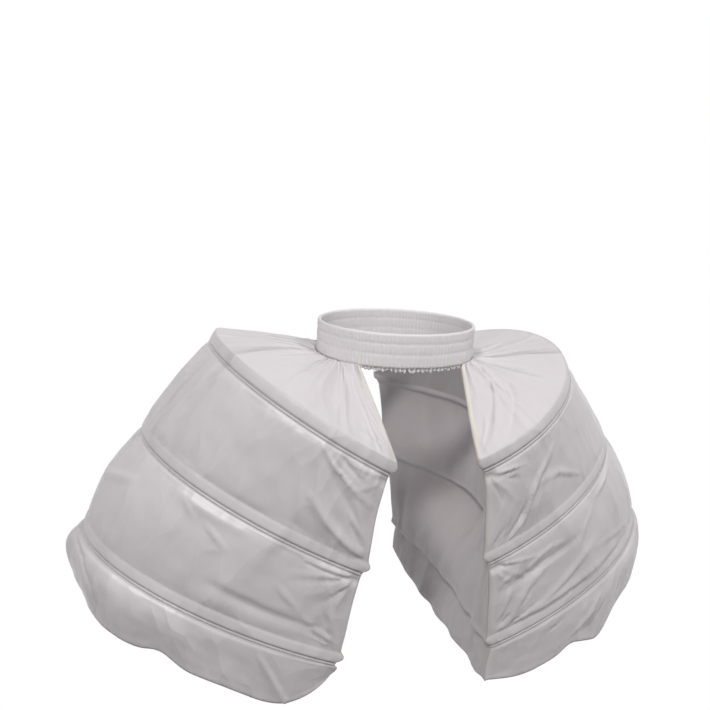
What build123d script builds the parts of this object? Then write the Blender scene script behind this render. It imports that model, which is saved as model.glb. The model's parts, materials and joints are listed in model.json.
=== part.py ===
"""Pair of side panniers on an elastic waistband, worn under a skirt.

Millimetres. +Z is up, the front of the wearer faces -Y, and the wearer's left is +X.
The origin is the middle of the waistband. The left pannier is drawn, and the right
one is its mirror image.
"""

import os
from dataclasses import dataclass
from math import acos, copysign, cos, degrees, exp, pi, radians, sin, sqrt

from build123d import *

os.makedirs("parts", exist_ok=True)

# Waistband
waist_width = 232
waist_depth = 196
band_height = 48
band_thick = 5
elastic_thick = 2.2
elastic_height = 40
rib_count = 90
rib_depth = 0.6

# Cloth, steel and the clearances between them
cloth = 0.8
fit = 0.3
bone_width = 8
bone_thick = 1.5
tip_wall = 0.3
tip_length = 14
tape_width = 14
seam_margin = 6
channel_slope = 3.6

# Top hoop: its ends beside the hips, its outermost point, and how far it wraps round
top_end_x = 57.5
top_end_z = -129
top_reach_x = 260
top_reach_z = -13
top_depth = 450
top_wrap = 102

# Middle hoop
mid_end_x = 83
mid_end_z = -267
mid_reach_x = 355
mid_reach_z = -137
mid_depth = 439
mid_wrap = 95

# Bottom hoop
bottom_end_x = 107
bottom_end_z = -403
bottom_reach_x = 435
bottom_reach_z = -274
bottom_depth = 414
bottom_wrap = 95

# The hoops lie a little behind the waist, and the seat needs more room than the belly
hoop_back_shift = 29

# Outer panel
yoke_gap = 156
gather_count = 12
gather_depth = 3.0
yoke_sag = 7
edge_pull = 0.022
fold_depth = 5
flounce_drop = 78
flounce_corner_drop = 36
flounce_flare = 18
hem_wave = 5

# Inner panel, with room for the hips above and nearly straight at the hem
hip_room_top = 104
hip_room_mid = 82
hip_room_bottom = 14
inner_hem_drop = 52
inner_fold = 5

# Gathered edge under the band, between the two panniers
frill_height = 5
frill_thick = 0.9
frill_wave = 0.9
frill_pitch = 6.5
frill_gap_angle = 1

# Where each thing lies, measured outwards from the crest of a channel
tip_outer = -cloth - fit
bone_outer = tip_outer - tip_wall
bone_inner = bone_outer - bone_thick
tip_inner = bone_inner - tip_wall
tape_outer = tip_inner - fit
tape_inner = tape_outer - cloth
stitch_level = tape_outer + fit + cloth
crest_half = bone_width / 2 + tip_wall + 2 * fit
stitch_half = crest_half + channel_slope

band_bottom = -band_height / 2
panel_top = band_bottom - fit


@dataclass
class Hoop:
    """A C-shaped arc of an ellipse, flat in a plane that rises away from the body."""

    end_x: float
    end_z: float
    reach_x: float
    reach_z: float
    depth: float
    wrap: float

    @property
    def reach(self):
        return sqrt((self.reach_x - self.end_x) ** 2 + (self.reach_z - self.end_z) ** 2)

    @property
    def plane(self):
        rise = (self.reach_x - self.end_x, 0, self.reach_z - self.end_z)
        normal = Vector(*rise).cross(Vector(0, 1, 0))
        return Plane((self.end_x, hoop_back_shift, self.end_z), x_dir=rise, z_dir=normal)

    @property
    def across(self):
        return self.reach / (1 - cos(radians(self.wrap)))

    @property
    def along(self):
        return self.depth / 2 / sin(radians(self.wrap))

    @property
    def centre(self):
        return -self.across * cos(radians(self.wrap))

    def at(self, share, out=0.0, up=0.0):
        """A point of the hoop: share is -1 at the front end and 1 at the back end."""
        angle = radians(share * self.wrap)
        x = self.centre + (self.across + out) * cos(angle)
        y = (self.along + out) * sin(angle)
        return self.plane.from_local_coords(Vector(x, y, up))

    def angle_of(self, length):
        """The angle that a length takes up at the end of the hoop."""
        return degrees(length / self.across)


top_hoop = Hoop(top_end_x, top_end_z, top_reach_x, top_reach_z, top_depth, top_wrap)
mid_hoop = Hoop(mid_end_x, mid_end_z, mid_reach_x, mid_reach_z, mid_depth, mid_wrap)
bottom_hoop = Hoop(
    bottom_end_x, bottom_end_z, bottom_reach_x, bottom_reach_z, bottom_depth, bottom_wrap
)
hoops = {"top": top_hoop, "middle": mid_hoop, "bottom": bottom_hoop}


def blend(start, end, share):
    return start + (end - start) * share


def hump(share):
    """Nought at both ends and one in the middle."""
    return sin(pi * share)


def band_strip(plane, hoop, outer, inner, width, first, last):
    """A flat strip bent on the easy way, as a solid between two shares of a hoop."""
    with BuildPart() as strip:
        with BuildSketch(plane):
            with BuildLine():
                ends = []
                for offset in (outer, inner):
                    arc = EllipticalCenterArc(
                        (hoop.centre, 0),
                        hoop.across + offset,
                        hoop.along + offset,
                        start_angle=first,
                        arc_size=last - first,
                    )
                    ends.append((arc @ 0, arc @ 1))
                Line(ends[0][0], ends[1][0])
                Line(ends[0][1], ends[1][1])
            make_face()
        extrude(amount=width / 2, both=True)
    return strip


def surface_normals(rows):
    """The outward direction at each point of a net that runs front to back and down."""
    normals = []
    last_row = len(rows) - 1
    for i, row in enumerate(rows):
        above = rows[max(i - 1, 0)]
        below = rows[min(i + 1, last_row)]
        last = len(row) - 1
        line = []
        for j in range(len(row)):
            down = below[j] - above[j]
            back = row[min(j + 1, last)] - row[max(j - 1, 0)]
            line.append(down.cross(back).normalized())
        normals.append(line)
    return normals


def moved(rows, amount):
    """The net moved along its own normals."""
    return [
        [point + normal * amount for point, normal in zip(row, line)]
        for row, line in zip(rows, surface_normals(rows))
    ]


def sewn_sheet(face_rows, back_rows):
    """A closed sheet: ruled strips between the rows of both faces, and its edges."""
    front = [Edge.make_spline(row) for row in face_rows]
    back = [Edge.make_spline(row) for row in back_rows]
    pairs = list(zip(front, front[1:])) + list(zip(back, back[1:]))
    pairs += [(front[0], back[0]), (front[-1], back[-1])]
    for end in (0, -1):
        rungs = [
            Edge.make_line(face[end], rear[end])
            for face, rear in zip(face_rows, back_rows)
        ]
        pairs += list(zip(rungs, rungs[1:]))
    return Solid(Shell([Face.make_surface_from_curves(a, b) for a, b in pairs]))


def shares(count):
    return [2 * j / (count - 1) - 1 for j in range(count)]


# Outer panel
outer_columns = 4 * gather_count + 1
seam_half_angle = degrees(acos(yoke_gap / waist_width))
outer_seam_inset = 0.5


def waist_point(share, inset, height=panel_top):
    angle = radians(share * seam_half_angle)
    x = (waist_width / 2 - inset) * cos(angle)
    y = (waist_depth / 2 - inset) * sin(angle)
    return Vector(x, y, height)


def gathers(share, depth):
    """Ripples that only go inwards from the panel's face."""
    return depth * (cos(pi * gather_count * share) - 1) / 2


def waist_row():
    ripple = band_thick / 4
    return [
        waist_point(s, outer_seam_inset - gathers(s, ripple)) for s in shares(outer_columns)
    ]


def yoke_row(share_down):
    """The yoke sags a little between band and hoop, and its gathers fade on the way."""
    depth = gather_depth * (1 - share_down) ** 2
    row = []
    for s in shares(outer_columns):
        start = waist_point(s, outer_seam_inset)
        end = top_hoop.at(s, stitch_level, stitch_half)
        point = blend(start, end, share_down)
        lift = gathers(s, depth) - yoke_sag * hump(share_down) * cos(s * pi / 2)
        row.append(point + Vector(0, 0, lift))
    return row


def hoop_rows(hoop, inset=0):
    """Four rows round a bone: stitched, crest, crest, stitched."""
    levels = [
        (stitch_level - inset, stitch_half),
        (-inset, crest_half - inset / 3),
        (-inset, inset / 3 - crest_half),
        (stitch_level - inset, -stitch_half),
    ]
    return [
        [hoop.at(s, out, up) for s in shares(outer_columns)] for out, up in levels
    ]


def corner_folds(share, down):
    """Soft folds that fan up from the ends of the hoop below."""
    near = exp(-(((abs(share) - 0.80) / 0.10) ** 2)) * (0.4 + 0.6 * down)
    far = exp(-(((abs(share) - 0.52 - 0.12 * down) / 0.09) ** 2))
    dip = exp(-(((abs(share) - 0.92) / 0.05) ** 2))
    return near + 0.6 * far - 0.7 * dip


def tier_row(upper, lower, down):
    """Cloth between two hoops: edges drawn in, folds fanning from the corners."""
    row = []
    for s in shares(outer_columns):
        pulled = s * (1 - edge_pull * hump(down))
        bump = fold_depth * corner_folds(s, down) * hump(down)
        start = upper.at(pulled, stitch_level + bump, -stitch_half)
        end = lower.at(pulled, stitch_level + bump, stitch_half)
        row.append(blend(start, end, down))
    return row


def flounce_row(share_down):
    """The loose lower edge, which hangs from the last hoop and flares at the side."""
    row = []
    for s in shares(outer_columns):
        short = (flounce_drop - flounce_corner_drop) * abs(s) ** 8
        drop = (flounce_drop - short) * share_down
        flare = flounce_flare * cos(s * pi / 2) * share_down
        wave = hem_wave * share_down * sin(5 * pi * s) * (1 - s**2)
        point = bottom_hoop.at(s, stitch_level + flare + wave, -stitch_half)
        row.append(point - Vector(0, 0, drop))
    return row


yoke_downs = (0.12, 0.5)
tier_downs = (0.34, 0.7)
flounce_downs = (0.5, 1)
outer_face = [waist_row()]
outer_face += [yoke_row(down) for down in yoke_downs]
hoop_starts = []
for upper, lower in ((top_hoop, mid_hoop), (mid_hoop, bottom_hoop), (bottom_hoop, None)):
    hoop_starts.append(len(outer_face))
    outer_face += hoop_rows(upper)
    if lower:
        outer_face += [tier_row(upper, lower, down) for down in tier_downs]
outer_face += [flounce_row(down) for down in flounce_downs]


def inside_of(net, inset):
    """The net's other side: along its normals, but round the bones by nested arcs."""
    rows = moved(net, -inset)
    for first, hoop in zip(hoop_starts, hoops.values()):
        rows[first : first + 4] = hoop_rows(hoop, inset)
    return rows


with BuildPart() as left_outer_panel:
    add(sewn_sheet(outer_face, inside_of(outer_face, cloth)))

# Inner panel: its edges follow the outer panel's, apart from the crests of the channels
inner_columns = 25
inner_seam_inset = band_thick - 2 * fit
crest_rows = [first + step for first in hoop_starts for step in (1, 2)]
seam_rows = [i for i in range(len(outer_face)) if i not in crest_rows]
seam_line = inside_of(outer_face, cloth + fit)
hip_row = hoop_starts[0]
hem_end_z = bottom_end_z - flounce_corner_drop
room_steps = [
    (top_end_z, hip_room_top),
    (mid_end_z, hip_room_mid),
    (bottom_end_z, hip_room_bottom),
    (hem_end_z, 0),
]


def stepped(height, steps):
    """A value that changes evenly from one height to the next."""
    for (high, first), (low, second) in zip(steps, steps[1:]):
        if height > low:
            share = min(max((high - height) / (high - low), 0), 1)
            return blend(first, second, share)
    return steps[-1][1]


def round_hip(front, back):
    """A row from the front seam to the back seam, bowed out round the hip."""
    height = (front.Z + back.Z) / 2
    room = stepped(height, room_steps)
    slack = stepped(height, [(mid_end_z, 0), (hem_end_z, 1)])
    row = []
    for s in shares(inner_columns):
        point = blend(front, back, (s + 1) / 2)
        ripple = inner_fold * slack * sin(3.5 * pi * s) * cos(s * pi / 2)
        row.append(point + Vector(room * cos(s * pi / 2) ** 1.3 + ripple, 0, 0))
    return row


def yoke_lining_row(index, down):
    """Above the top hoop the row blends from the waist seam to the hip."""
    ends = (seam_line[index][0], seam_line[index][-1])
    hip = round_hip(seam_line[hip_row][0], seam_line[hip_row][-1])
    row = []
    for j, s in enumerate(shares(inner_columns)):
        side = 0 if s < 0 else -1
        sewn = blend(waist_point(copysign(1, s), inner_seam_inset), hip[side], down)
        inside = blend(waist_point(s, inner_seam_inset), hip[j], down)
        row.append(inside + (ends[side] - sewn) * abs(s) ** 6)
    return row


def inner_hem_row(index, down):
    """Below the bottom hoop the body side hangs a little lower than its corners."""
    extra = (inner_hem_drop - flounce_corner_drop) * down
    row = round_hip(seam_line[index][0], seam_line[index][-1])
    return [p - Vector(0, 0, extra * (1 - s**4)) for p, s in zip(row, shares(inner_columns))]


inner_lining = []
for index in seam_rows:
    rows_from_hem = index - len(outer_face)
    if index < hip_row:
        inner_lining.append(yoke_lining_row(index, (0, *yoke_downs)[index]))
    elif rows_from_hem >= -len(flounce_downs):
        inner_lining.append(inner_hem_row(index, flounce_downs[rows_from_hem]))
    else:
        inner_lining.append(round_hip(seam_line[index][0], seam_line[index][-1]))
inner_face = moved(inner_lining, -cloth)

with BuildPart() as left_inner_panel:
    add(sewn_sheet(inner_lining, inner_face))

# Bones, their tips, and the tapes that hold them against the outer panel
left_pieces = {"outer_panel": left_outer_panel, "inner_panel": left_inner_panel}
for name, hoop in hoops.items():
    bone_end = hoop.wrap - hoop.angle_of(seam_margin)
    left_pieces[f"{name}_bone"] = band_strip(
        hoop.plane, hoop, bone_outer, bone_inner, bone_width, -bone_end, bone_end
    )
    left_pieces[f"{name}_casing"] = band_strip(
        hoop.plane, hoop, tape_outer, tape_inner, tape_width, -bone_end, bone_end
    )
    tip_start = bone_end - hoop.angle_of(tip_length)
    tip_end = bone_end + hoop.angle_of(2 * tip_wall)
    with BuildPart() as tips:
        for first, last in ((-tip_end, -tip_start), (tip_start, tip_end)):
            cap = band_strip(
                hoop.plane, hoop, tip_outer, tip_inner, bone_width + 2 * tip_wall, first, last
            )
            add(cap.part)
        add(left_pieces[f"{name}_bone"].part, mode=Mode.SUBTRACT)
    left_pieces[f"{name}_bone_tips"] = tips

for name, piece in left_pieces.items():
    piece.part.label = f"left_{name}"
    export_step(piece.part, f"parts/left_{name}.step")
    with BuildPart() as twin:
        add(mirror(piece.part, about=Plane.YZ, mode=Mode.PRIVATE))
    twin.part.label = f"right_{name}"
    export_step(twin.part, f"parts/right_{name}.step")


# Waistband: a ribbed cloth casing with the elastic inside it
def ring_point(angle, inset):
    x = (waist_width / 2 - inset) * cos(angle)
    y = (waist_depth / 2 - inset) * sin(angle)
    return (x, y)


def ribbed_outline():
    """Ridges and valleys in turn, as shirring over elastic leaves them."""
    count = 2 * rib_count
    return [ring_point(2 * pi * i / count, rib_depth * (i % 2)) for i in range(count)]


def flat_ring(outer_inset, inner_inset):
    Ellipse(waist_width / 2 - outer_inset, waist_depth / 2 - outer_inset)
    Ellipse(
        waist_width / 2 - inner_inset, waist_depth / 2 - inner_inset, mode=Mode.SUBTRACT
    )


elastic_room = elastic_thick + 2 * fit
room_inset = (band_thick - elastic_room) / 2
elastic_inset = room_inset + fit

with BuildPart() as waistband_casing:
    with BuildSketch():
        Polygon(*ribbed_outline(), align=None)
        Ellipse(
            waist_width / 2 - band_thick, waist_depth / 2 - band_thick, mode=Mode.SUBTRACT
        )
    extrude(amount=band_height / 2, both=True)
    with BuildSketch():
        flat_ring(room_inset, room_inset + elastic_room)
    extrude(amount=elastic_height / 2 + fit, both=True, mode=Mode.SUBTRACT)
waistband_casing.part.label = "waistband_casing"
export_step(waistband_casing.part, "parts/waistband_casing.step")

with BuildPart() as waist_elastic:
    with BuildSketch():
        flat_ring(elastic_inset, elastic_inset + elastic_thick)
    extrude(amount=elastic_height / 2, both=True)
waist_elastic.part.label = "waist_elastic"
export_step(waist_elastic.part, "parts/waist_elastic.step")


# Gathered edge of the band, front and back
def frill_outline(side):
    """A thin zigzag wall under the band, between the two panniers."""
    half = radians(90 - seam_half_angle - frill_gap_angle)
    waves = round(half * waist_width / frill_pitch)
    walls = []
    for inset in (0, frill_thick):
        wall = []
        for i in range(2 * waves + 1):
            angle = radians(side * 90) + half * (i / waves - 1)
            wave = frill_wave * (1 if i % 2 else -1)
            wall.append(ring_point(angle, band_thick / 2 + wave + inset))
        walls.append(wall)
    return walls[0] + walls[1][::-1]


with BuildPart() as waistband_edge:
    for side in (-1, 1):
        with BuildSketch(Plane.XY.offset(panel_top)):
            Polygon(*frill_outline(side), align=None)
        extrude(amount=-frill_height)
waistband_edge.part.label = "waistband_gathered_edge"
export_step(waistband_edge.part, "parts/waistband_gathered_edge.step")
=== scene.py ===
# %% [markdown]
# A pair of side panniers: two cloth cages, each held open by three springy hoops, that hang
# from one elastic waistband and widen a skirt at the hips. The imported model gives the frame:
# the waistband's centre is the origin, the wearer faces -Y, and +Z is up. Everything here is
# in metres, so sizes that a maker would give in millimetres are multiplied by MM.

# %% Load the frame
import json
import math
import random
from collections import namedtuple

import bmesh
import bpy
from mathutils import Matrix, Vector, noise

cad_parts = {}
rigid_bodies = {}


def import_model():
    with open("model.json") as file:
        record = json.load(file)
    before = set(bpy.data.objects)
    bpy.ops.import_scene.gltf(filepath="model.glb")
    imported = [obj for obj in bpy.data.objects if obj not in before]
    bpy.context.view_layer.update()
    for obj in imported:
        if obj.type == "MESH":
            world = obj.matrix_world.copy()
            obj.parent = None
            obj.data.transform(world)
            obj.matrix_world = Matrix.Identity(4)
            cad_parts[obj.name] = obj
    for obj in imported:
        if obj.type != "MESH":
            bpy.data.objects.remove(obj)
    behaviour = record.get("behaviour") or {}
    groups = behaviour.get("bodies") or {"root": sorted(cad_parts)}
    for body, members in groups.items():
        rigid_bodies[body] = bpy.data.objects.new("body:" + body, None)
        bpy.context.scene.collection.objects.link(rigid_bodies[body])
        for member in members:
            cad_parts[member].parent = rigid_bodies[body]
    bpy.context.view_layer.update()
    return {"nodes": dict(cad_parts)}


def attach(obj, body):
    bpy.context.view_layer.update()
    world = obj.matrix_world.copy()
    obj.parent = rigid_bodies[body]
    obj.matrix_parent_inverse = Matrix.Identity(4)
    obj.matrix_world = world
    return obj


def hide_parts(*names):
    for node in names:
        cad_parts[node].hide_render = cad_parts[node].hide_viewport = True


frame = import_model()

MM = 0.001

# %% [markdown]
# The camera stands a little to the wearer's right and above the waist, as the photographer
# did. Its place, turn, downward tilt and small roll were fitted to the photograph by a separate
# script, with the focal length held at 850 pixels.

# %% Camera
CAMERA_PLACE = Vector((-0.4206, -1.1427, 0.2531))
CAMERA_TURN, CAMERA_TILT, CAMERA_ROLL = (math.radians(a) for a in (17.49, 13.18, 3.83))
FOCAL_PIXELS, FRAME_PIXELS, SENSOR = 850, 710, 36


def camera_axes():
    turn, tilt, roll = CAMERA_TURN, CAMERA_TILT, CAMERA_ROLL
    ahead = Vector(
        (math.sin(turn) * math.cos(tilt), math.cos(turn) * math.cos(tilt), -math.sin(tilt))
    )
    level = Vector((math.cos(turn), -math.sin(turn), 0))
    upright = level.cross(ahead)
    right = level * math.cos(roll) + upright * math.sin(roll)
    up = upright * math.cos(roll) - level * math.sin(roll)
    return right, up, -ahead


camera_data = bpy.data.cameras.new("camera")
camera_data.sensor_width = SENSOR
camera_data.lens = FOCAL_PIXELS / FRAME_PIXELS * SENSOR
camera = bpy.data.objects.new("camera", camera_data)
bpy.context.scene.collection.objects.link(camera)
turned = Matrix(camera_axes()).transposed().to_4x4()
camera.matrix_world = Matrix.Translation(CAMERA_PLACE) @ turned
bpy.context.scene.camera = camera
bpy.context.scene.view_settings.view_transform = "Standard"
print("camera lens", round(camera_data.lens, 1), "mm")

# %% [markdown]
# Small helpers that every piece shares: a smooth hump, a bell, a fade, a blend, and noise
# that is the same on every run. Sides are +1 for the wearer's left and -1 for the right.

# %% Shaping helpers
SIDES = {"left": 1, "right": -1}


def hump(share):
    return math.sin(math.pi * share)


def bell(distance, width):
    return math.exp(-((distance / width) ** 2))


def fade(value, low, high):
    t = min(max((value - low) / (high - low), 0), 1)
    return t * t * (3 - 2 * t)


def blend(start, end, share):
    return start + (end - start) * share


def grain(x, y, seed=0.0):
    return noise.noise(Vector((x, y, seed)))


print("sides", SIDES)

# %% [markdown]
# Each hoop is an arc of an ellipse in a plane that rises away from the body. The cloth is
# hung on these arcs, so every piece below asks the same function for its points: how far
# round the hoop, how far outwards, and how far above the hoop's plane.

# %% Hoops
WAIST_WIDTH, WAIST_DEPTH = 232 * MM, 196 * MM
BAND_HEIGHT, BAND_THICK = 48 * MM, 5 * MM
YOKE_GAP = 156 * MM
HOOP_BACK_SHIFT = 29 * MM


class Hoop:
    def __init__(self, end_x, end_z, reach_x, reach_z, depth, wrap):
        rise = Vector(((reach_x - end_x) * MM, 0, (reach_z - end_z) * MM))
        self.wrap = math.radians(wrap)
        self.outward = rise.normalized()
        self.normal = self.outward.cross(Vector((0, 1, 0)))
        self.start = Vector((end_x * MM, HOOP_BACK_SHIFT, end_z * MM))
        self.across = rise.length / (1 - math.cos(self.wrap))
        self.along = depth * MM / 2 / math.sin(self.wrap)

    def at(self, share, out=0.0, up=0.0):
        """share runs from -1 at the front end to 1 at the back end."""
        angle = share * self.wrap
        reach = (self.across + out) * math.cos(angle) - self.across * math.cos(self.wrap)
        side = (self.along + out) * math.sin(angle)
        return self.start + self.outward * reach + Vector((0, side, 0)) + self.normal * up


top_hoop = Hoop(57.5, -129, 260, -13, 450, 102)
middle_hoop = Hoop(83, -267, 355, -137, 439, 95)
bottom_hoop = Hoop(107, -403, 435, -274, 414, 95)
HOOPS = {"top": top_hoop, "middle": middle_hoop, "bottom": bottom_hoop}
HOOP_OF = dict(enumerate(HOOPS.values(), start=1))
SEAM_ANGLE = math.acos(YOKE_GAP / WAIST_WIDTH)


def around_waist(angle, inset, height):
    x = (WAIST_WIDTH / 2 - inset) * math.cos(angle)
    y = (WAIST_DEPTH / 2 - inset) * math.sin(angle)
    return Vector((x, y, height))


def waist_point(share, inset):
    return around_waist(share * SEAM_ANGLE, inset, -BAND_HEIGHT / 2 - 0.3 * MM)


def mirrored(point, side):
    return Vector((point.x * SIDES[side], point.y, point.z))


print("hoops", {name: round(hoop.across / MM) for name, hoop in HOOPS.items()})

# %% [markdown]
# The outer cloth is one panel from the waist to the hem. It is laid out in rows, and each row
# knows which stretch it belongs to: the yoke, a channel over a bone, a tier between two hoops,
# or the loose flounce. Levels count the hoops: 0 at the waist, 1, 2 and 3 at the hoops, and 4
# at the hem. Rows lie closest together beside the stitching, where the cloth bends most.

# %% Rows and columns of the outer cloth
CHANNEL_TOP, CHANNEL_FOOT = 8.2 * MM, -13.0 * MM
HALF_ARC = 430 * MM
ROLL_SHARE = 6 * MM / HALF_ARC
Row = namedtuple("Row", "stretch number place level depth")
STRETCHES = [
    ("yoke", 0, 40, 0.150),
    ("channel", 1, 17, 0.021),
    ("tier", 1, 37, 0.128),
    ("channel", 2, 17, 0.021),
    ("tier", 2, 37, 0.132),
    ("channel", 3, 17, 0.021),
    ("flounce", 3, 24, 0.080),
]


def closer_at_ends(share):
    return share - 0.07 * math.sin(2 * math.pi * share)


def row_plan():
    rows, depth = [], 0.0
    for stretch, number, count, length in STRETCHES:
        for i in range(count):
            place = closer_at_ends(i / count) if stretch == "tier" else i / count
            level = number if stretch == "channel" else number + place
            rows.append(Row(stretch, number, place, level, depth + place * length))
        depth += length
    rows.append(Row("flounce", 3, 1.0, 4.0, depth))
    return rows


def column_shares(count, roll_steps=4):
    """From -1 to 1, closest where the cloth rolls in over its front and back edges."""
    inside = 1 - ROLL_SHARE
    steps = [2 * i / count - 1 for i in range(count + 1)]
    middle = [inside * (1.22 * t - 0.22 * t**3) for t in steps]
    roll = [inside + ROLL_SHARE * i / roll_steps for i in range(1, roll_steps + 1)]
    return [-s for s in reversed(roll)] + middle + roll


ROWS = row_plan()
OUTER_SHARES = column_shares(226)
print("outer cloth grid", len(OUTER_SHARES), "by", len(ROWS))

# %% [markdown]
# In section, the cloth swells only a little over each bone, because the bone is flat. A row
# of stitches draws taffeta in, and below each bone two rows run side by side, as two fine
# grooves that catch the shade. At the front and back edges it rolls over the bone's end and
# turns in to the seam, and that closes the mouth of each channel and gives the sharp corners
# of the silhouette.

# %% Section of the cloth over a bone
CREST_OUT, FLAT_OUT, SEAM_OUT, WAIST_SEAM = 0.7 * MM, 0, -3.6 * MM, 4.4 * MM
UPPER_STITCH, LOWER_STITCH, LAST_STITCH = 8.2 * MM, -8.4 * MM, -12.6 * MM
GROOVES = [(UPPER_STITCH, -0.1 * MM), (LOWER_STITCH, -2.5 * MM), (LAST_STITCH, -2.2 * MM)]
GROOVE_WIDTH = 1.2 * MM
TIP_POKE = {"left": 1.5 * MM / HALF_ARC, "right": 3.5 * MM / HALF_ARC}
TIP_SWELL = 0.3 * MM
NOTCH = {"left": 2.5 * MM / HALF_ARC, "right": 3.5 * MM / HALF_ARC}
NOTCH_START, NOTCH_REACH, TIP_REACH = 6 * MM, 32 * MM, 20 * MM


def rolled(share):
    """The cloth's real share near its edges, and how far it has turned in, from 0 to 1."""
    past = (abs(share) - (1 - ROLL_SHARE)) / ROLL_SHARE
    if past <= 0:
        return share, 0.0
    turn = past * math.pi / 2
    reach = 1 - ROLL_SHARE + ROLL_SHARE * math.sin(turn)
    return math.copysign(reach, share), 1 - math.cos(turn)


def notched(side, real, distance):
    """Beside a bone end the cloth's edge draws back a little, and so the tip stands out."""
    depth = NOTCH[side] * (1 - bell(distance, NOTCH_START)) * bell(distance, NOTCH_REACH)
    return real * (1 - depth * fade(abs(real), 0.93, 1))


def section(up, near_tip=0.0):
    """How far outwards the cloth lies at a height above the bone's middle."""
    crest = max(1 - abs(up / UPPER_STITCH) ** 2.6, 0)
    out = blend(FLAT_OUT, CREST_OUT + TIP_SWELL * near_tip, crest)
    for height, dip in GROOVES:
        out += dip * bell(up - height, GROOVE_WIDTH)
    return out, crest


def channel_place(side, hoop, share, place):
    up = blend(CHANNEL_TOP, CHANNEL_FOOT, place)
    real, turn = rolled(share)
    near_tip = bell((1 - abs(share)) * HALF_ARC, TIP_REACH)
    out, crest = section(up, near_tip)
    poke = 1 + TIP_POKE[side] * crest**2 * fade(abs(share), 0.95, 1)
    return hoop.at(notched(side, real, abs(up)) * poke, blend(out, SEAM_OUT, turn), up)


print("crest", CREST_OUT / MM, "mm, grooves", [round(dip / MM, 1) for _, dip in GROOVES])

# %% [markdown]
# Between the hoops the cloth is stretched like a drum skin. It puffs out a little beside the
# stitching, and its free edges are drawn in between the bone ends. The yoke is gathered into
# the waistband and sags slightly, and the flounce swings out below the last bone and comes
# back in at the hem.

# %% Yoke, tiers and flounce
YOKE_LENGTH, TIER_LENGTH, FLOUNCE_LENGTH = 150 * MM, 130 * MM, 80 * MM
GATHER_COUNT, GATHER_DEPTH = 15, 4.5 * MM
YOKE_SAG = {"left": 9 * MM, "right": -8 * MM}
EDGE_PULL = {("left", 1): 0.012, ("left", 2): 0.008, ("right", 1): 0.018, ("right", 2): 0.010}
TIER_BOW = {("left", 1): 0, ("left", 2): 8, ("right", 1): 4, ("right", 2): 9}
PUFF, PUFF_REACH = 1.0 * MM, 9 * MM
POCKET, POCKET_DROP = 3.5 * MM, 9 * MM
FLOUNCE_DROP = {"left": 81 * MM, "right": 86 * MM}
FRONT_CORNER_DROP = {"left": 52 * MM, "right": 4 * MM}
BACK_CORNER_DROP = 40 * MM
CORNER_ROUNDING = {"left": 8, "right": 11.5}
FLOUNCE_FLARE = {"left": 19 * MM, "right": 18 * MM}
HEM_WAVE, FRONT_TUCK = 5 * MM, 7 * MM
HEM_FOLD, HEM_FOLD_START, HEM_FOLD_END = 0.5 * MM, 0.885, 0.90
# Lobes of the hem: share, width, extra swing outwards and extra drop, in millimetres.
HEM_LOBES = {
    "left": [(-0.56, 0.08, 0, 24), (-0.30, 0.10, -6, 0), (-0.71, 0.04, 0, -8), (-0.86, 0.08, 0, 5)],
    "right": [(0.03, 0.05, 6, 0), (-0.50, 0.06, 0, -12), (-0.66, 0.10, 0, -6), (-0.84, 0.08, 0, 6)],
}


def groove_beside(distance, dip):
    return dip * bell(distance, GROOVE_WIDTH)


def yoke_place(side, share, down):
    real, turn = rolled(share)
    start = waist_point(real, blend(-0.5 * MM, WAIST_SEAM, turn))
    start.z += 2 * MM * (1 - turn)
    below = (1 - down) * YOKE_LENGTH
    near_hoop = notched(side, real, CHANNEL_TOP + below)
    end = top_hoop.at(near_hoop, blend(FLAT_OUT, SEAM_OUT, turn), CHANNEL_TOP)
    fold = 0.5 + 0.5 * math.cos(math.pi * GATHER_COUNT * (share + 0.02 * math.sin(9 * share)))
    uneven = 0.6 + 0.8 * grain(share * 5, 3, SIDES[side])
    depth = GATHER_DEPTH * fade(down, 0, 0.05) * (1 - down) ** 1.5 * uneven
    sag = YOKE_SAG[side] * hump(down**0.6) * fade(share, -1, 0.3)
    dip = groove_beside(below, GROOVES[0][1])
    return blend(start, end, down) + Vector((0, 0, -depth * fold - sag + dip))


def tier_place(side, number, share, down):
    real, turn = rolled(share)
    above, below = down * TIER_LENGTH, (1 - down) * TIER_LENGTH
    pulled = real * (1 - EDGE_PULL[side, number] * hump(down**0.8))
    pulled = notched(side, pulled, min(above - CHANNEL_FOOT, below + CHANNEL_TOP))
    puff = 1 - bell(above, PUFF_REACH) - bell(below, PUFF_REACH)
    out = FLAT_OUT + PUFF * puff * (1 + 1.4 * grain(share * 9, number, SIDES[side]))
    out += TIER_BOW[side, number] * MM * hump(down) * math.cos(share * math.pi / 2)
    out += groove_beside(above, GROOVES[2][1]) + groove_beside(below, GROOVES[0][1])
    corner = bell((1 - abs(share)) * HALF_ARC - 8 * MM, 16 * MM)
    out -= POCKET * corner * bell(above - POCKET_DROP, 7 * MM)
    out = blend(out, SEAM_OUT, turn)
    start = HOOP_OF[number].at(pulled, out, CHANNEL_FOOT)
    end = HOOP_OF[number + 1].at(pulled, out, CHANNEL_TOP)
    return blend(start, end, down)


def hem_drop(side, share):
    corner = FRONT_CORNER_DROP[side] if share < 0 else BACK_CORNER_DROP
    drop = blend(FLOUNCE_DROP[side], corner, abs(share) ** CORNER_ROUNDING[side])
    for centre, width, _, extra in HEM_LOBES[side]:
        drop += extra * MM * bell(share - centre, width)
    return drop


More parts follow.
